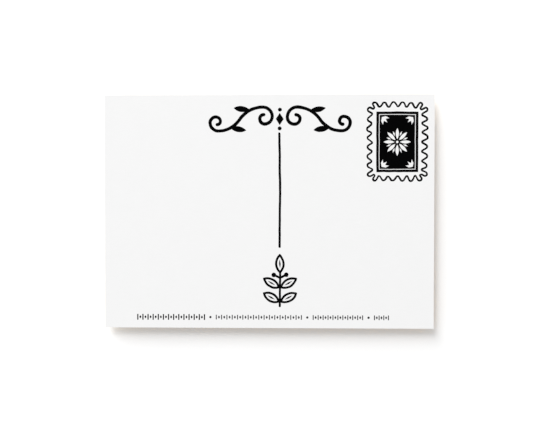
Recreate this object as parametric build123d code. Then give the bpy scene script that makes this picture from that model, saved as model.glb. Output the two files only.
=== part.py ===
from build123d import *

import math
import os

# A postcard lying writing side up: a trimmed sheet of layered board with ink on both faces.
# Frame: the origin is the centre of the underside, +X runs along the long side, +Y towards the
# top of the writing side, and +Z out of the writing side. Lengths are in millimetres.

# Card: 6 by 4 1/4 inches, and the layers of a 16 point board from the underside up
CARD_LENGTH = 152.4
CARD_HEIGHT = 107.95
PICTURE_INK = 0.01
COATING = 0.02
PICTURE_LINER = 0.07
CORE = 0.246
WRITING_LINER = 0.07
WRITING_INK = 0.01

# Stamp place: a line waved like a perforated stamp edge, with a notch at each corner, round a solid
# panel. Its crests are rounder than its troughs, with straight flanks between them, and the notches cut in
# deeper. Rise and depth are those of the pen's middle.
STAMP_INSET_RIGHT = 2.75
STAMP_INSET_TOP = 3.25
STAMP_PEN = 0.78
WAVE_PITCH = 4.25
WAVES_ACROSS = 6
WAVES_DOWN = 8
WAVE_RISE = 2.25
CREST_RADIUS = 0.9
TROUGH_RADIUS = 0.54
NOTCH_DEPTH = 1.8
PANEL_GAP = 1.65
KEYLINE_INSET = 1.1
KEYLINE_PEN = 0.4

# Left bare in the panel: a rosette of petals with darts between them, and a fan of darts in each corner
ROSETTE_MARGIN = 1.7
ROSETTE_EYE = 1.3
PETALS = 8
PETAL_START = 1.2
PETAL_WIDTH = 1.6
DART_START = 2.8
DART_WIDTH = 0.9
DART_SETBACK = 0.9
FAN_DARTS = 3
FAN_LENGTH = 3.6
FAN_WIDTH = 1.3
FAN_INSET = 0.9
FAN_SPREAD = 70.0

# Dividing line between message and address, right of the card's middle
DIVIDER_OFFSET = 5.15
DIVIDER_PEN = 0.96
DIVIDER_GAP_ABOVE = 1.0
DIVIDER_GAP_BELOW = 2.7

# Header: a lozenge and two pearls between mirrored S-scrolls, centred on the dividing line
HEADER_INSET_TOP = 4.95
HEADER_DEPTH = 12.4
HEADER_STAMP_GAP = 6.6
HEADER_PEN = 1.45
LOZENGE_WIDTH = 3.6
LOZENGE_HEIGHT = 5.4
LOZENGE_GAP = 1.0
PEARL_DIAMETER = 1.8
PEARL_GAP = 0.7
INNER_VOLUTE_RADIUS = 4.5
OUTER_VOLUTE_RADIUS = 3.8
VOLUTE_TAPER = 0.74
VOLUTE_QUARTERS = 4
SCROLL_LEAF_LENGTH = 7.4
SCROLL_LEAF_WIDTH = 2.6
SCROLL_LEAF_SPREAD = 36.0

# Sprig between the dividing line and the imprint, with its leaf pairs evenly spaced up the stem and a berry
# on each side below the leaf at its tip
SPRIG_HEIGHT = 24.8
SPRIG_PEN = 0.94
LEAF_PAIRS = 2
LEAF_FOOT = 2.2
LEAF_LENGTH = 9.2
LEAF_WIDTH = 4.3
LEAF_SPREAD = 60.0
VEIN_WIDTH = 0.7
VEIN_INSET = 2.6
BERRY_DIAMETER = 2.1
BERRY_REACH = 2.9
BERRY_RISE = 1.4
STALK_DROP = 2.0

# Imprint: rules of unlike length, parted by dots, along the foot of the card. Each is a row of fine
# upright bars with a lozenge bead between each two. The second rule takes up what the others leave.
IMPRINT_INSET_LEFT = 14.9
IMPRINT_INSET_RIGHT = 20.6
IMPRINT_INSET_BOTTOM = 5.0
LEAD_RULE_LENGTH = 31.7
THIRD_RULE_LENGTH = 23.3
LAST_RULE_LENGTH = 6.9
RULE_GAP = 5.0
DOT_DIAMETER = 1.1
BAR_PITCH = 2.4
LEAD_BAR_WIDTH = 0.56
LEAD_BAR_HEIGHT = 2.7
BAR_WIDTH = 0.47
BAR_HEIGHT = 2.2
BEAD_WIDTH = 1.02
BEAD_HEIGHT = 1.55
SPRIG_IMPRINT_GAP = 3.4

# A small printed dot is drawn with this many sides, which read as round at its size
DOT_SIDES = 12

LAYERS = {
    "picture_ink": PICTURE_INK,
    "picture_coating": COATING,
    "picture_ply": PICTURE_LINER,
    "core_ply": CORE,
    "writing_ply": WRITING_LINER,
}
WRITING_FACE = sum(LAYERS.values())

# Places on the writing face that more than one piece of the print lines up with
WAVE_REACH = (WAVE_RISE + STAMP_PEN) / 2
STAMP_WIDTH = WAVES_ACROSS * WAVE_PITCH + 2 * WAVE_REACH
STAMP_HEIGHT = WAVES_DOWN * WAVE_PITCH + 2 * WAVE_REACH
STAMP_X = CARD_LENGTH / 2 - STAMP_INSET_RIGHT - STAMP_WIDTH / 2
STAMP_Y = CARD_HEIGHT / 2 - STAMP_INSET_TOP - STAMP_HEIGHT / 2
HEADER_Y = CARD_HEIGHT / 2 - HEADER_INSET_TOP - HEADER_DEPTH / 2
HEADER_REACH = STAMP_X - STAMP_WIDTH / 2 - HEADER_STAMP_GAP - DIVIDER_OFFSET
IMPRINT_Y = IMPRINT_INSET_BOTTOM - CARD_HEIGHT / 2
SPRIG_Y = IMPRINT_Y + LEAD_BAR_HEIGHT / 2 + SPRIG_IMPRINT_GAP


def board_layers():
    """Full-size sheets from the underside up, flush all round as one guillotine cut leaves them."""
    layers = {}
    height = 0
    for name, thickness in LAYERS.items():
        layers[name] = Pos(0, 0, height) * extrude(Rectangle(CARD_LENGTH, CARD_HEIGHT), thickness)
        height += thickness
    return layers


def ink_film(artwork):
    """Artwork drawn in the card's plane, as a film of ink on the writing face."""
    return Pos(0, 0, WRITING_FACE) * extrude(Sketch() + artwork, WRITING_INK)


def tangent_arcs(start, heading, turns):
    """Arcs that each carry on from the last. A turn is (radius, degrees), positive to the left."""
    point = Vector(*start)
    direction = Vector(1, 0, 0).rotate(Axis.Z, heading)
    arcs = []
    for radius, degrees in turns:
        arc = JernArc(point, direction, radius, degrees)
        arcs.append(arc)
        point, direction = arc @ 1, arc % 1
    return arcs


def pen_line(edges, width):
    """The inked area of an open line drawn with a round pen."""
    return make_face(Wire(edges).offset_2d(width / 2))


def pen_loop(edges, width):
    """The inked area of a closed line drawn with a round pen."""
    loop = Wire(edges)
    return make_face(loop.offset_2d(width / 2)) - make_face(loop.offset_2d(-width / 2))


def upright(length, width):
    """A round-ended upright stroke standing on the origin."""
    return Pos(0, length / 2) * Rot(0, 0, 90) * SlotOverall(length, width)


def leaf(length, width):
    """A pointed leaf standing on the origin, between two arcs."""
    foot, tip = (0, 0), (0, length)
    return make_face([SagittaArc(foot, tip, width / 2), SagittaArc(tip, foot, width / 2)])


def lozenge(width, height):
    """An upright lozenge centred on the origin."""
    right, top = width / 2, height / 2
    return make_face(Polyline((right, 0), (0, top), (-right, 0), (0, -top), close=True))


def standing_lozenge(width, height):
    """An upright lozenge with its foot on the origin."""
    return Pos(0, height / 2) * lozenge(width, height)


def dot(diameter):
    """A small round dot centred on the origin."""
    return RegularPolygon(diameter / 2, DOT_SIDES)


def volute(start, heading, radius):
    """Quarter turns to the left, each tighter than the last."""
    return tangent_arcs(start, heading, [(radius * VOLUTE_TAPER**i, 90) for i in range(VOLUTE_QUARTERS)])


def scroll():
    """The right-hand S-scroll: a reverse curve that winds into a volute at each end, with two leaves."""
    crest = HEADER_DEPTH / 2 - HEADER_PEN / 2
    inner = LOZENGE_WIDTH / 2 + LOZENGE_GAP + HEADER_PEN / 2 + INNER_VOLUTE_RADIUS
    outer = HEADER_REACH - HEADER_PEN / 2 - OUTER_VOLUTE_RADIUS
    run, fall = outer - inner, 2 * crest
    bend = (run**2 + fall**2) / (4 * fall)
    turn = 2 * math.degrees(math.atan2(fall, run))
    reverse_curve = tangent_arcs((inner, crest), 0, [(bend, -turn), (bend, turn)])
    line = volute((inner, crest), 180, INNER_VOLUTE_RADIUS) + reverse_curve
    line += volute((outer, -crest), 0, OUTER_VOLUTE_RADIUS)
    middle = Pos((inner + outer) / 2, 0)
    seat = reverse_curve[0] @ 0.5 - middle.position
    lean = Rot(0, 0, SCROLL_LEAF_SPREAD - turn / 2 - 90)
    sprout = Pos(seat) * lean * leaf(SCROLL_LEAF_LENGTH, SCROLL_LEAF_WIDTH)
    return pen_line(line, HEADER_PEN) + middle * sprout + middle * Rot(0, 0, 180) * sprout


def header():
    place = Pos(DIVIDER_OFFSET, HEADER_Y)
    right = scroll()
    pearl = dot(PEARL_DIAMETER)
    rise = LOZENGE_HEIGHT / 2 + PEARL_GAP + PEARL_DIAMETER / 2
    return {
        "header_scroll_right": ink_film(place * right),
        "header_scroll_left": ink_film(place * mirror(right, Plane.YZ)),
        "header_lozenge": ink_film(place * lozenge(LOZENGE_WIDTH, LOZENGE_HEIGHT)),
        "header_pearls": ink_film([place * Pos(0, rise) * pearl, place * Pos(0, -rise) * pearl]),
    }


def divider():
    top = HEADER_Y - LOZENGE_HEIGHT / 2 - PEARL_GAP - PEARL_DIAMETER - DIVIDER_GAP_ABOVE
    bottom = SPRIG_Y + SPRIG_HEIGHT + DIVIDER_GAP_BELOW
    return {"divider_line": ink_film(Pos(DIVIDER_OFFSET, bottom) * upright(top - bottom, DIVIDER_PEN))}


def sprig():
    """A stem with pairs of outlined leaves, one more at its tip, and two berries on stalks below that."""
    blade = leaf(LEAF_LENGTH, LEAF_WIDTH)
    blade -= offset(blade, -SPRIG_PEN, kind=Kind.INTERSECTION)
    vein = Pos(0, VEIN_INSET) * standing_lozenge(VEIN_WIDTH, LEAF_LENGTH - 2 * VEIN_INSET)
    stalk = upright(math.hypot(BERRY_REACH, BERRY_RISE), SPRIG_PEN)
    lean = math.degrees(math.atan2(BERRY_REACH, BERRY_RISE))
    tip = SPRIG_HEIGHT - LEAF_LENGTH
    spacing = (tip - LEAF_FOOT) / LEAF_PAIRS
    fork = tip - STALK_DROP
    drawn = [upright(tip + SPRIG_PEN, SPRIG_PEN)]
    seats = [Pos(0, tip)]
    for side in (-1, 1):
        for pair in range(LEAF_PAIRS):
            seats.append(Pos(0, LEAF_FOOT + pair * spacing) * Rot(0, 0, side * LEAF_SPREAD))
        drawn.append(Pos(0, fork) * Rot(0, 0, -side * lean) * stalk)
        drawn.append(Pos(side * BERRY_REACH, fork + BERRY_RISE) * dot(BERRY_DIAMETER))
    drawn += [seat * blade for seat in seats]
    place = Pos(DIVIDER_OFFSET, SPRIG_Y)
    return {
        "sprig": ink_film([place * stroke for stroke in drawn]),
        "sprig_veins": ink_film([place * seat * vein for seat in seats]),
    }


def wave_rounds():
    """Centre and tip of each arc of the wave, clockwise round a rectangle: a notch at each corner, then
    crests and troughs by turns at half-pitch steps along the side."""
    step = WAVE_PITCH / 2
    notch = NOTCH_DEPTH - TROUGH_RADIUS * math.sin(math.radians(45))
    rounds = []
    for quarter in range(4):
        waves, waves_beside = (WAVES_DOWN, WAVES_ACROSS) if quarter % 2 else (WAVES_ACROSS, WAVES_DOWN)
        start, height = -waves * step, waves_beside * step
        side = [(Vector(start + notch, height - notch), Vector(start + NOTCH_DEPTH, height - NOTCH_DEPTH))]
        for i in range(1, 2 * waves):
            out, radius = (1, CREST_RADIUS) if i % 2 else (-1, TROUGH_RADIUS)
            tip = height + out * WAVE_RISE / 2
            side.append((Vector(start + i * step, tip - out * radius), Vector(start + i * step, tip)))
        rounds += [[point.rotate(Axis.Z, -90 * quarter) for point in arc] for arc in side]
    return rounds


def wave_line():
    """The arcs of the wave and the straight flanks that touch each arc and the next."""
    rounds = wave_rounds()
    flanks = []
    for i, (centre, tip) in enumerate(rounds):
        next_centre, next_tip = rounds[(i + 1) % len(rounds)]
        radius, next_radius = (tip - centre).length, (next_tip - next_centre).length
        reach = next_centre - centre
        lean = math.asin((radius + next_radius) / reach.length)
        turn = math.degrees(lean) * (-1 if i % 2 else 1)
        along = reach.normalized().rotate(Axis.Z, turn) * (1 / math.tan(lean))
        crossing = centre + reach * (radius / (radius + next_radius))
        flanks.append((crossing - along * radius, crossing + along * next_radius))
    line = []
    for i, (_, tip) in enumerate(rounds):
        line.append(ThreePointArc(flanks[i - 1][1], tip, flanks[i][0]))
        line.append(Line(*flanks[i]))
    return line


def bare_ornament(field_width, field_height):
    """The shapes that the panel's ink leaves bare, about the panel's centre."""
    reach = field_width / 2 - ROSETTE_MARGIN
    petal = Pos(0, PETAL_START) * leaf(reach - PETAL_START, PETAL_WIDTH)
    dart = Pos(0, DART_START) * standing_lozenge(DART_WIDTH, reach - DART_SETBACK - DART_START)
    fan_dart = standing_lozenge(FAN_WIDTH, FAN_LENGTH)
    shapes = [dot(ROSETTE_EYE)]
    for spoke in range(PETALS):
        shapes.append(Rot(0, 0, 360 / PETALS * spoke) * petal)
        shapes.append(Rot(0, 0, 360 / PETALS * (spoke + 0.5)) * dart)
    for corner, (right, up) in enumerate(((1, 1), (-1, 1), (-1, -1), (1, -1))):
        foot = Pos(right * (field_width / 2 - FAN_INSET), up * (field_height / 2 - FAN_INSET))
        inward = 135 + 90 * corner
        for i in range(FAN_DARTS):
            lean = FAN_SPREAD * (i / (FAN_DARTS - 1) - 0.5)
            shapes.append(foot * Rot(0, 0, inward + lean) * fan_dart)
    return shapes


def stamp_place():
    """The wavy outline, and inside it a panel that a bare keyline parts into a border and a field."""
    place = Pos(STAMP_X, STAMP_Y)
    margin = 2 * WAVE_REACH + PANEL_GAP
    width, height = STAMP_WIDTH - 2 * margin, STAMP_HEIGHT - 2 * margin
    key_width, key_height = width - 2 * KEYLINE_INSET, height - 2 * KEYLINE_INSET
    field_width, field_height = key_width - 2 * KEYLINE_PEN, key_height - 2 * KEYLINE_PEN
    border = Rectangle(width, height) - Rectangle(key_width, key_height)
    field = Rectangle(field_width, field_height) - bare_ornament(field_width, field_height)
    return {
        "stamp_outline": ink_film(place * pen_loop(wave_line(), STAMP_PEN)),
        "stamp_border": ink_film(place * border),
        "stamp_field": ink_film(place * field),
    }


def imprint():
    """Rows of bars and beads by turns, from bar to bar, with a dot midway in each gap between rows."""
    left = IMPRINT_INSET_LEFT - CARD_LENGTH / 2
    right = CARD_LENGTH / 2 - IMPRINT_INSET_RIGHT
    taken = LEAD_RULE_LENGTH + THIRD_RULE_LENGTH + LAST_RULE_LENGTH + 3 * RULE_GAP
    lengths = (LEAD_RULE_LENGTH, right - left - taken, THIRD_RULE_LENGTH, LAST_RULE_LENGTH)
    films = {}
    dots = []
    for row, length in enumerate(lengths, start=1):
        width, height = (LEAD_BAR_WIDTH, LEAD_BAR_HEIGHT) if row == 1 else (BAR_WIDTH, BAR_HEIGHT)
        marks = [Rectangle(width, height), lozenge(BEAD_WIDTH, BEAD_HEIGHT)]
        steps = 2 * round((length - width) / BAR_PITCH)
        seats = [Pos(left + width / 2 + (length - width) * i / steps, IMPRINT_Y) for i in range(steps + 1)]
        films[f"imprint_rule_{row}"] = ink_film([seat * marks[i % 2] for i, seat in enumerate(seats)])
        if row > 1:
            dots.append(Pos(left - RULE_GAP / 2, IMPRINT_Y) * dot(DOT_DIAMETER))
        left += length + RULE_GAP
    films["imprint_dots"] = ink_film(dots)
    return films


pieces = {**board_layers(), **header(), **divider(), **sprig(), **stamp_place(), **imprint()}

os.makedirs("parts", exist_ok=True)
for name, piece in pieces.items():
    piece.label = name
    export_step(piece, f"parts/{name}.step")
    print(name, len(piece.solids()), "solids", round(piece.volume, 4), "mm3")
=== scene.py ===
import math

import bmesh
import bpy
from mathutils import Euler, Matrix, Vector, noise


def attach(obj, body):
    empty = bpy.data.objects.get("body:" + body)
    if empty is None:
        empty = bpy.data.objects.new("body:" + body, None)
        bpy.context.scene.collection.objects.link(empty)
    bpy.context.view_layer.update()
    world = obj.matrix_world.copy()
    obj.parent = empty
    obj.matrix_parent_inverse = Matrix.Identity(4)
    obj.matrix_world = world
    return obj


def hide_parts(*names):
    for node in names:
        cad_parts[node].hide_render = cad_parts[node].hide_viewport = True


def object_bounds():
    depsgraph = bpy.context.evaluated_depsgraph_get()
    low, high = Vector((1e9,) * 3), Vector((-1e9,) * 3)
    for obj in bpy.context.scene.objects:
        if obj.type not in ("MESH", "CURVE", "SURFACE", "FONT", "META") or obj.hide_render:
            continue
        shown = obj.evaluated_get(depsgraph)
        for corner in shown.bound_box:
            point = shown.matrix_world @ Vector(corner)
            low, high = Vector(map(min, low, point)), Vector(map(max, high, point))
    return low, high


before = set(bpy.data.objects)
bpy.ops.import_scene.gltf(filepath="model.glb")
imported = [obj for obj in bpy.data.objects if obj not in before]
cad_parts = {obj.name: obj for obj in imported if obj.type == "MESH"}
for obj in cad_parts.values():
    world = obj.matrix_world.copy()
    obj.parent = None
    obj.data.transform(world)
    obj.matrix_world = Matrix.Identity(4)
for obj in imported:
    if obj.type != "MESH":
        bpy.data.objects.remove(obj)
cad_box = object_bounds()

# Core ply
# The thick middle of the card: short bleached fibres, laid wet between the two liners and pressed.
# Only its cut edge shows, a guillotined face of fibre ends, a little creamier than the liners.

# Sizes in this file are in millimetres, and the frame is in metres.
MM_PER_METRE = 1000

# The Mix node has its sockets once for each kind of value, so those for colours are found by number.
SHARE = 0
COLOUR_A = 6
COLOUR_B = 7
MIXED = 2


def linear(hex_colour):
    """An sRGB colour such as F6F6F4 as the linear RGBA that shaders take."""
    channels = [int(hex_colour[start:start + 2], 16) / 255 for start in (0, 2, 4)]
    return [c / 12.92 if c <= 0.04045 else ((c + 0.055) / 1.055) ** 2.4 for c in channels] + [1.0]


def per_metre(size):
    """A texture's scale for features of this size, on coordinates in metres."""
    return MM_PER_METRE / size


def add_node(tree, kind, inputs, **settings):
    """Adds a node with its settings; an input is a plain value or another node's output socket."""
    node = tree.nodes.new(kind)
    for name, value in settings.items():
        setattr(node, name, value)
    for socket, value in inputs.items():
        if isinstance(value, bpy.types.NodeSocket):
            tree.links.new(value, node.inputs[socket])
        else:
            node.inputs[socket].default_value = value
    return node


def new_material(name):
    """A material, its empty node tree, and a socket there that gives the place on the piece in metres."""
    material = bpy.data.materials.new(name)
    material.use_nodes = True
    tree = material.node_tree
    tree.nodes.clear()
    coordinates = add_node(tree, "ShaderNodeTexCoord", {})
    return material, tree, coordinates.outputs["Object"]


def dress(node_name, material):
    """Gives a CAD piece whose shape is right its finish."""
    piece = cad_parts[node_name]
    piece.data.materials.clear()
    piece.data.materials.append(material)


# Pressed pulp, cut by a guillotine: matt, cream, with pale and darker fibre ends. The fibre ends are
# 0.03 mm across, drawn at 0.25 mm so that the edge isn't one flat tone.
CORE_FIBRE_END = 0.25
CORE_FIBRE_DEPTH = 0.01

cut_pulp, tree, place = new_material("pressed_pulp_guillotined")
fibre_ends = add_node(tree, "ShaderNodeTexNoise", {
    "Vector": place, "Scale": per_metre(CORE_FIBRE_END), "Detail": 3.0})
tone = add_node(tree, "ShaderNodeMix", {
    SHARE: fibre_ends.outputs["Fac"], COLOUR_A: linear("F3EEE2"), COLOUR_B: linear("E4DCCB")},
    data_type="RGBA")
relief = add_node(tree, "ShaderNodeBump", {
    "Height": fibre_ends.outputs["Fac"], "Distance": CORE_FIBRE_DEPTH / MM_PER_METRE})
shader = add_node(tree, "ShaderNodeBsdfPrincipled", {
    "Base Color": tone.outputs[MIXED], "Roughness": 0.95, "IOR": 1.5, "Specular IOR Level": 0.3,
    "Normal": relief.outputs["Normal"]})
add_node(tree, "ShaderNodeOutputMaterial", {"Surface": shader.outputs["BSDF"]})
dress("core_ply", cut_pulp)

# Liners
# The two smooth outer plies, long bleached fibres pressed onto the core. The upper one is left bare to be
# written on, and the lower one carries the coated picture side.

# Uncoated bleached liner, calendered: a bright neutral white with a dry, even face. Held to the light it
# is faintly cloudy where the fibres lie thicker, and its fibres run along the card. A fibre is 0.03 mm
# wide and 2 mm long, drawn at 0.5 by 3 mm so that the face isn't one flat tone.
CLOUD = 9.0
FIBRE_LENGTH = 3.0
FIBRE_WIDTH = 0.5
FIBRE_RELIEF = 0.002

liner, tree, place = new_material("bleached_liner_calendered")
clouds = add_node(tree, "ShaderNodeTexNoise", {"Vector": place, "Scale": per_metre(CLOUD), "Detail": 2.0})
along_grain = add_node(tree, "ShaderNodeMapping", {
    "Vector": place,
    "Scale": (per_metre(FIBRE_LENGTH), per_metre(FIBRE_WIDTH), per_metre(FIBRE_WIDTH))})
fibres = add_node(tree, "ShaderNodeTexNoise", {
    "Vector": along_grain.outputs["Vector"], "Scale": 1.0, "Detail": 3.0, "Distortion": 0.6})
cloud_tone = add_node(tree, "ShaderNodeMix", {
    SHARE: clouds.outputs["Fac"], COLOUR_A: linear("F8F8F8"), COLOUR_B: linear("F4F4F4")},
    data_type="RGBA")
fibre_tone = add_node(tree, "ShaderNodeMix", {
    SHARE: fibres.outputs["Fac"], COLOUR_A: cloud_tone.outputs[MIXED], COLOUR_B: linear("F3F3F3")},
    data_type="RGBA")
dryness = add_node(tree, "ShaderNodeMapRange", {
    "Value": fibres.outputs["Fac"], "To Min": 0.7, "To Max": 0.9})
relief = add_node(tree, "ShaderNodeBump", {
    "Height": fibres.outputs["Fac"], "Distance": FIBRE_RELIEF / MM_PER_METRE})
shader = add_node(tree, "ShaderNodeBsdfPrincipled", {
    "Base Color": fibre_tone.outputs[MIXED], "Roughness": dryness.outputs["Result"], "IOR": 1.5,
    "Specular IOR Level": 0.05, "Normal": relief.outputs["Normal"]})
add_node(tree, "ShaderNodeOutputMaterial", {"Surface": shader.outputs["BSDF"]})
dress("picture_ply", liner)
dress("writing_ply", liner)

# Picture side
# A clay coating, spread by a blade on the lower liner, and over it the print, which runs off all four
# edges. The print lies face down, so it is kept plain: one wash from a cream corner to a golden one.

# Blade-coated clay: chalk white and very smooth, seen only as a hairline at the cut edge. Its grain is
# 0.002 mm, drawn at 0.6 mm so that the hairline isn't one flat tone.
CLAY_GRAIN = 0.6

clay, tree, place = new_material("kaolin_blade_coated")
grain = add_node(tree, "ShaderNodeTexNoise", {
    "Vector": place, "Scale": per_metre(CLAY_GRAIN), "Detail": 2.0})
tone = add_node(tree, "ShaderNodeMix", {
    SHARE: grain.outputs["Fac"], COLOUR_A: linear("F7F5F0"), COLOUR_B: linear("EFEBE3")},
    data_type="RGBA")
shader = add_node(tree, "ShaderNodeBsdfPrincipled", {
    "Base Color": tone.outputs[MIXED], "Roughness": 0.5, "IOR": 1.55})
add_node(tree, "ShaderNodeOutputMaterial", {"Surface": shader.outputs["BSDF"]})
dress("picture_coating", clay)

# Offset print under a gloss varnish: a warm wash laid as a screen of dots, smooth and shiny. The screen is
# 6 dots a millimetre, drawn at 2 so that it shows, and the varnish pools a little. A dot is solid and then
# fades at two shares of the dots' spacing, and the wash turns from cream to gold between two shares of the
# way from the card's middle to its corners.
SCREEN_DOT = 0.5
SCREEN_ANGLE = 45  # degrees
DOT_SOLID_TO = 0.25
DOT_FADED_BY = 0.5
GAP_PALENESS = 0.25
VARNISH_POOL = 7.0
CREAM_UP_TO = -0.75
GOLD_FROM = 0.55

print_inks, tree, place = new_material("offset_print_varnished")
card_size = cad_box[1] - cad_box[0]
across = add_node(tree, "ShaderNodeVectorMath", {
    0: place, 1: (1 / card_size.x, -1 / card_size.y, 0.0)}, operation="DOT_PRODUCT")
depth = add_node(tree, "ShaderNodeMapRange", {
    "Value": across.outputs["Value"], "From Min": CREAM_UP_TO, "From Max": GOLD_FROM},
    interpolation_type="SMOOTHSTEP")
wash = add_node(tree, "ShaderNodeMix", {
    SHARE: depth.outputs["Result"], COLOUR_A: linear("F1EBDC"), COLOUR_B: linear("F2B82A")},
    data_type="RGBA")
turned = add_node(tree, "ShaderNodeMapping", {
    "Vector": place, "Rotation": (0.0, 0.0, math.radians(SCREEN_ANGLE)),
    "Scale": (per_metre(SCREEN_DOT),) * 3})
screen = add_node(tree, "ShaderNodeTexVoronoi", {
    "Vector": turned.outputs["Vector"], "Scale": 1.0, "Randomness": 0.0}, voronoi_dimensions="2D")
gaps = add_node(tree, "ShaderNodeMapRange", {
    "Value": screen.outputs["Distance"], "From Min": DOT_SOLID_TO, "From Max": DOT_FADED_BY,
    "To Max": GAP_PALENESS})
printed = add_node(tree, "ShaderNodeMix", {
    SHARE: gaps.outputs["Result"], COLOUR_A: wash.outputs[MIXED], COLOUR_B: linear("F9D96A")},
    data_type="RGBA")
pools = add_node(tree, "ShaderNodeTexNoise", {
    "Vector": place, "Scale": per_metre(VARNISH_POOL), "Detail": 2.0})
gloss = add_node(tree, "ShaderNodeMapRange", {
    "Value": pools.outputs["Fac"], "To Min": 0.18, "To Max": 0.32})
shader = add_node(tree, "ShaderNodeBsdfPrincipled", {
    "Base Color": printed.outputs[MIXED], "Roughness": gloss.outputs["Result"], "IOR": 1.5})
add_node(tree, "ShaderNodeOutputMaterial", {"Surface": shader.outputs["BSDF"]})
dress("picture_ink", print_inks)

# Heading
# The ornament at the head of the card: two scrolls, a lozenge and its pearls, drawn with a round pen and
# printed in one pass of black on the bare liner.

# Black offset ink on uncoated stock: dense, nearly flat black that has sunk in, with a faint mottle where
# the liner drank more of it. The mottle is 0.2 mm across, drawn at 0.9 mm so that it shows.
INK_MOTTLE = 0.9
INK_SKIN = 0.001

black, tree, place = new_material("black_offset_ink_uncoated")
mottle = add_node(tree, "ShaderNodeTexNoise", {
    "Vector": place, "Scale": per_metre(INK_MOTTLE), "Detail": 4.0})
tone = add_node(tree, "ShaderNodeMix", {
    SHARE: mottle.outputs["Fac"], COLOUR_A: linear("010101"), COLOUR_B: linear("060607")},
    data_type="RGBA")
dryness = add_node(tree, "ShaderNodeMapRange", {
    "Value": mottle.outputs["Fac"], "To Min": 0.5, "To Max": 0.75})
relief = add_node(tree, "ShaderNodeBump", {
    "Height": mottle.outputs["Fac"], "Distance": INK_SKIN / MM_PER_METRE})
shader = add_node(tree, "ShaderNodeBsdfPrincipled", {
    "Base Color": tone.outputs[MIXED], "Roughness": dryness.outputs["Result"], "IOR": 1.5,
    "Specular IOR Level": 0.01, "Normal": relief.outputs["Normal"]})
add_node(tree, "ShaderNodeOutputMaterial", {"Surface": shader.outputs["BSDF"]})

# A drawn line wanders slowly along its length, and its edge trembles where the pen met the paper. In print
# the ink spreads a little past the plate's edge, so each line comes out bolder than it was drawn. The seed
# keeps the hand's drift the same on each run.
WANDER_SEED = 56
WANDER_LENGTH = 11.0
TREMBLE_LENGTH = 2.4
INK_SPREAD = 0.05
PEN_STEP = 0.5
WELD = 0.0001
FLAT_WITHIN = 0.5  # degrees
FACING_UP = 0.5  # the least rise of an upper face's normal

noise.seed_set(WANDER_SEED)


def put_in_scene(name, data):
    """A new object of this mesh, lamp or camera in the scene."""
    thing = bpy.data.objects.new(name, data)
    bpy.context.scene.collection.objects.link(thing)
    return thing


def outline_edges(shape):
    """The edges round a flat shape and round its holes."""
    return [edge for edge in shape.edges if edge.is_boundary]


def drawn_by_hand(node_name, wander, tremble):
    """A copy of a printed film whose outline wanders and trembles by up to so many mm, like a pen's."""
    inked = bmesh.new()
    inked.from_mesh(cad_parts[node_name].data)
    heights = [vertex.co.z for vertex in inked.verts]

    # The film's upper face alone, with points a pen step apart along its outline.
    other_faces = [face for face in inked.faces if face.normal.z < FACING_UP]
    bmesh.ops.delete(inked, geom=other_faces, context="FACES")
    bmesh.ops.remove_doubles(inked, verts=inked.verts, dist=WELD / MM_PER_METRE)
    bmesh.ops.dissolve_limit(
        inked, angle_limit=math.radians(FLAT_WITHIN), verts=inked.verts, edges=inked.edges)
    for edge in outline_edges(inked):
        for steps in range(math.ceil(edge.calc_length() * MM_PER_METRE / PEN_STEP), 1, -1):
            bmesh.utils.edge_split(edge, edge.verts[0], 1 / steps)

    # Each point drifts with the hand, and moves out of the ink as the ink spreads.
    outward = {vertex: Vector((0, 0, 0)) for vertex in inked.verts}
    for edge in outline_edges(inked):
        loop = edge.link_loops[0]
        along = loop.link_loop_next.vert.co - loop.vert.co
        for vertex in edge.verts:
            outward[vertex] += along.cross(Vector((0, 0, 1))).normalized()
    for vertex, out in outward.items():
        spot = Vector((vertex.co.x, vertex.co.y, 0)) * MM_PER_METRE
        drift = noise.noise_vector(spot / WANDER_LENGTH) * wander
        shake = noise.noise_vector(spot / TREMBLE_LENGTH) * tremble
        move = drift + shake + out.normalized() * INK_SPREAD
        vertex.co.x += move.x / MM_PER_METRE
        vertex.co.y += move.y / MM_PER_METRE

    # Down from there, a film as thick as it was.
    bmesh.ops.triangulate(inked, faces=inked.faces)
    bmesh.ops.solidify(inked, geom=inked.faces, thickness=max(heights) - min(heights))
    mesh = bpy.data.meshes.new(node_name + "_inked")
    inked.to_mesh(mesh)
    inked.free()
    return put_in_scene(node_name + "_inked", mesh)


def print_by_hand(node_name, wander, tremble):
    """Prints a film in black as a hand drew it, on the card, in place of its CAD film."""
    film = drawn_by_hand(node_name, wander, tremble)
    film.data.materials.append(black)
    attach(film, "root")
    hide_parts(node_name)


HEADING_WANDER = 0.25
HEADING_TREMBLE = 0.1

for heading_film in ("header_scroll_left", "header_scroll_right", "header_lozenge", "header_pearls"):
    print_by_hand(heading_film, HEADING_WANDER, HEADING_TREMBLE)

# Divider
# The line between the message and the address, ruled freehand from the heading down to the sprig, so
# that it sways a little. Black ink, in the same pass.
DIVIDER_WANDER = 0.4
DIVIDER_TREMBLE = 0.08

print_by_hand("divider_line", DIVIDER_WANDER, DIVIDER_TREMBLE)

# Sprig
# The small ornament at the foot of the line: leaves, stalks and berries in pen outline, with a vein down
# each leaf. Black ink, in the same pass.
SPRIG_WANDER = 0.25
SPRIG_TREMBLE = 0.1

for sprig_film in ("sprig", "sprig_veins"):
    print_by_hand(sprig_film, SPRIG_WANDER, SPRIG_TREMBLE)

# Stamp place
# Where the postage stamp goes: a pen line that waves as a perforated edge does, round a solid panel that
# is reversed out, so that its ornament is bare liner. Black ink, in the same pass.
OUTLINE_WANDER = 1.0
OUTLINE_TREMBLE = 0.22
PANEL_WANDER = 0.2
PANEL_TREMBLE = 0.08

print_by_hand("stamp_outline", OUTLINE_WANDER, OUTLINE_TREMBLE)
for panel_film in ("stamp_border", "stamp_field"):
    print_by_hand(panel_film, PANEL_WANDER, PANEL_TREMBLE)

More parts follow.
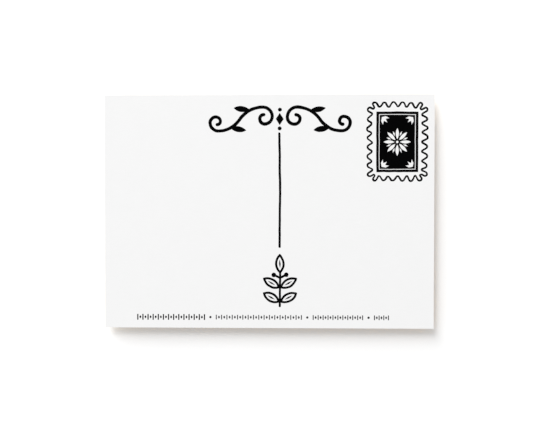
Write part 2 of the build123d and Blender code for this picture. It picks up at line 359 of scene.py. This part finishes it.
# Imprint
# The small line along the foot of the card: four rows of upright bars with a bead between each two, and a
# dot between the rows. It was set by machine, so its shapes are true, and the thinner ink of the later
# rows prints greyer.

# Black offset ink in a thin film: charcoal, dry and even, with the liner just showing through. Its mottle
# is 0.2 mm across, drawn at 0.7 mm so that it shows.
IMPRINT_MOTTLE = 0.7

charcoal, tree, place = new_material("black_offset_ink_thin_film")
mottle = add_node(tree, "ShaderNodeTexNoise", {
    "Vector": place, "Scale": per_metre(IMPRINT_MOTTLE), "Detail": 3.0})
tone = add_node(tree, "ShaderNodeMix", {
    SHARE: mottle.outputs["Fac"], COLOUR_A: linear("2A2A2B"), COLOUR_B: linear("4A4A4B")},
    data_type="RGBA")
shader = add_node(tree, "ShaderNodeBsdfPrincipled", {
    "Base Color": tone.outputs[MIXED], "Roughness": 0.7, "IOR": 1.5, "Specular IOR Level": 0.1})
add_node(tree, "ShaderNodeOutputMaterial", {"Surface": shader.outputs["BSDF"]})
dress("imprint_rule_1", black)
for imprint_film in ("imprint_rule_2", "imprint_rule_3", "imprint_rule_4", "imprint_dots"):
    dress(imprint_film, charcoal)

# Backdrop
# A white sheet with a low pad on it that holds the card a few millimetres up, out of sight under the
# card, so that the card's shadow falls free of its edges. Neither is part of the card.
PAD_HEIGHT = 4.6
PAD_INSET = 14.0
PAD_ROUNDING = 1.0
SHEET_SIZE = 4000.0

# Matt white sheet: near the card it is lit as it lies and keeps the shadow, with a slight lift to bring its
# lit part up to white, and farther out it is burnt out to plain white, so that it has no horizon. Its grain
# is 0.1 mm, drawn at 1.5 mm so that it isn't one flat tone.
SHADOW_REACH = 115.0
BURNT_OUT_FROM = 260.0
NEAR_LIFT = 0.17
SHEET_GRAIN = 1.5


def rays_that_show(tree):
    """A socket that is 1 for the rays by which a thing is seen: straight, mirrored or through glass."""
    ray = add_node(tree, "ShaderNodeLightPath", {})
    straight_or_mirrored = add_node(tree, "ShaderNodeMath", {
        0: ray.outputs["Is Camera Ray"], 1: ray.outputs["Is Glossy Ray"]}, operation="MAXIMUM")
    any_of_them = add_node(tree, "ShaderNodeMath", {
        0: straight_or_mirrored.outputs["Value"], 1: ray.outputs["Is Transmission Ray"]},
        operation="MAXIMUM")
    return any_of_them.outputs["Value"]


backdrop, tree, place = new_material("matt_white_sheet")
grain = add_node(tree, "ShaderNodeTexNoise", {
    "Vector": place, "Scale": per_metre(SHEET_GRAIN), "Detail": 2.0})
tone = add_node(tree, "ShaderNodeMix", {
    SHARE: grain.outputs["Fac"], COLOUR_A: linear("F6F6F6"), COLOUR_B: linear("F4F4F4")},
    data_type="RGBA")
matt = add_node(tree, "ShaderNodeBsdfDiffuse", {"Color": tone.outputs[MIXED]})
out_from_card = add_node(tree, "ShaderNodeVectorMath", {0: place}, operation="LENGTH")
burn = add_node(tree, "ShaderNodeMapRange", {
    "Value": out_from_card.outputs["Value"], "From Min": SHADOW_REACH / MM_PER_METRE,
    "From Max": BURNT_OUT_FROM / MM_PER_METRE, "To Min": NEAR_LIFT, "To Max": 1.0})
lift = add_node(tree, "ShaderNodeMath", {
    0: rays_that_show(tree), 1: burn.outputs["Result"]}, operation="MULTIPLY")
glow = add_node(tree, "ShaderNodeEmission", {
    "Color": linear("FFFFFF"), "Strength": lift.outputs["Value"]})
both = add_node(tree, "ShaderNodeAddShader", {0: matt.outputs["BSDF"], 1: glow.outputs["Emission"]})
add_node(tree, "ShaderNodeOutputMaterial", {"Surface": both.outputs["Shader"]})


def backdrop_piece(name, shape):
    """A piece of the backdrop with this shape, in the white sheet's finish."""
    mesh = bpy.data.meshes.new(name)
    shape.to_mesh(mesh)
    shape.free()
    mesh.materials.append(backdrop)
    return put_in_scene(name, mesh)


sheet_shape = bmesh.new()
bmesh.ops.create_grid(sheet_shape, x_segments=1, y_segments=1, size=SHEET_SIZE / 2 / MM_PER_METRE)
bmesh.ops.translate(sheet_shape, verts=sheet_shape.verts, vec=(0, 0, -PAD_HEIGHT / MM_PER_METRE))
sheet = backdrop_piece("white_sheet", sheet_shape)

both_insets = 2 * PAD_INSET / MM_PER_METRE
pad_size = (card_size.x - both_insets, card_size.y - both_insets, PAD_HEIGHT / MM_PER_METRE)
pad_shape = bmesh.new()
bmesh.ops.create_cube(pad_shape, size=1, matrix=Matrix.Diagonal((*pad_size, 1)))
bmesh.ops.translate(pad_shape, verts=pad_shape.verts, vec=(0, 0, -PAD_HEIGHT / 2 / MM_PER_METRE))
bmesh.ops.bevel(
    pad_shape, geom=pad_shape.edges, offset=PAD_ROUNDING / MM_PER_METRE, segments=3, affect="EDGES")
pad = backdrop_piece("low_pad", pad_shape)

# Light
# One tall softbox beyond the head of the card and a little to its left, and a white room that fills the
# rest, so that the shadow falls softly towards the foot.

# A level is about the share of white to which that light brings a flat white sheet. Angles are in degrees,
# and azimuth is clockwise from the head of the card, seen from above.
SOFTBOX_AZIMUTH = -27.5
SOFTBOX_ELEVATION = 30.5
SOFTBOX_DISTANCE = 6000.0
SOFTBOX_WIDTH = 3220.0
SOFTBOX_HEIGHT = 5850.0
SOFTBOX_LEVEL = 0.66
ROOM_LEVEL = 0.465

lamp = bpy.data.lights.new("key_softbox", "AREA")
lamp.shape = "RECTANGLE"
lamp.size = SOFTBOX_WIDTH / MM_PER_METRE
lamp.size_y = SOFTBOX_HEIGHT / MM_PER_METRE
reach = SOFTBOX_DISTANCE / MM_PER_METRE
lamp.energy = SOFTBOX_LEVEL * (math.pi * reach) ** 2 / math.sin(math.radians(SOFTBOX_ELEVATION))
facing = Euler((math.radians(90 - SOFTBOX_ELEVATION), 0, math.radians(180 - SOFTBOX_AZIMUTH)))
softbox = put_in_scene("key_softbox", lamp)
softbox.rotation_euler = facing
softbox.location = facing.to_matrix() @ Vector((0, 0, reach))

room = bpy.data.worlds.new("white_room")
room.use_nodes = True
tree = room.node_tree
tree.nodes.clear()
strength = add_node(tree, "ShaderNodeMapRange", {
    "Value": rays_that_show(tree), "To Min": ROOM_LEVEL, "To Max": 1.0})
glow = add_node(tree, "ShaderNodeBackground", {
    "Color": linear("FFFFFF"), "Strength": strength.outputs["Result"]})
add_node(tree, "ShaderNodeOutputWorld", {"Surface": glow.outputs["Background"]})
bpy.context.scene.world = room

# Camera
# Straight above the card, about two degrees off square, as a hand-held copy shot is.
LENS = 50.0
CAMERA_PLACE = (7.42, 6.23, 342.9)
CAMERA_TILT = (-1.133, 1.415, 0.024)  # degrees
CLIP_FROM = 10.0

camera_lens = bpy.data.cameras.new("copy_camera")
camera_lens.lens = LENS
camera_lens.clip_start = CLIP_FROM / MM_PER_METRE
camera = put_in_scene("copy_camera", camera_lens)
camera.location = Vector(CAMERA_PLACE) / MM_PER_METRE
camera.rotation_euler = [math.radians(angle) for angle in CAMERA_TILT]
bpy.context.scene.camera = camera
bpy.context.scene.view_settings.view_transform = "Standard"
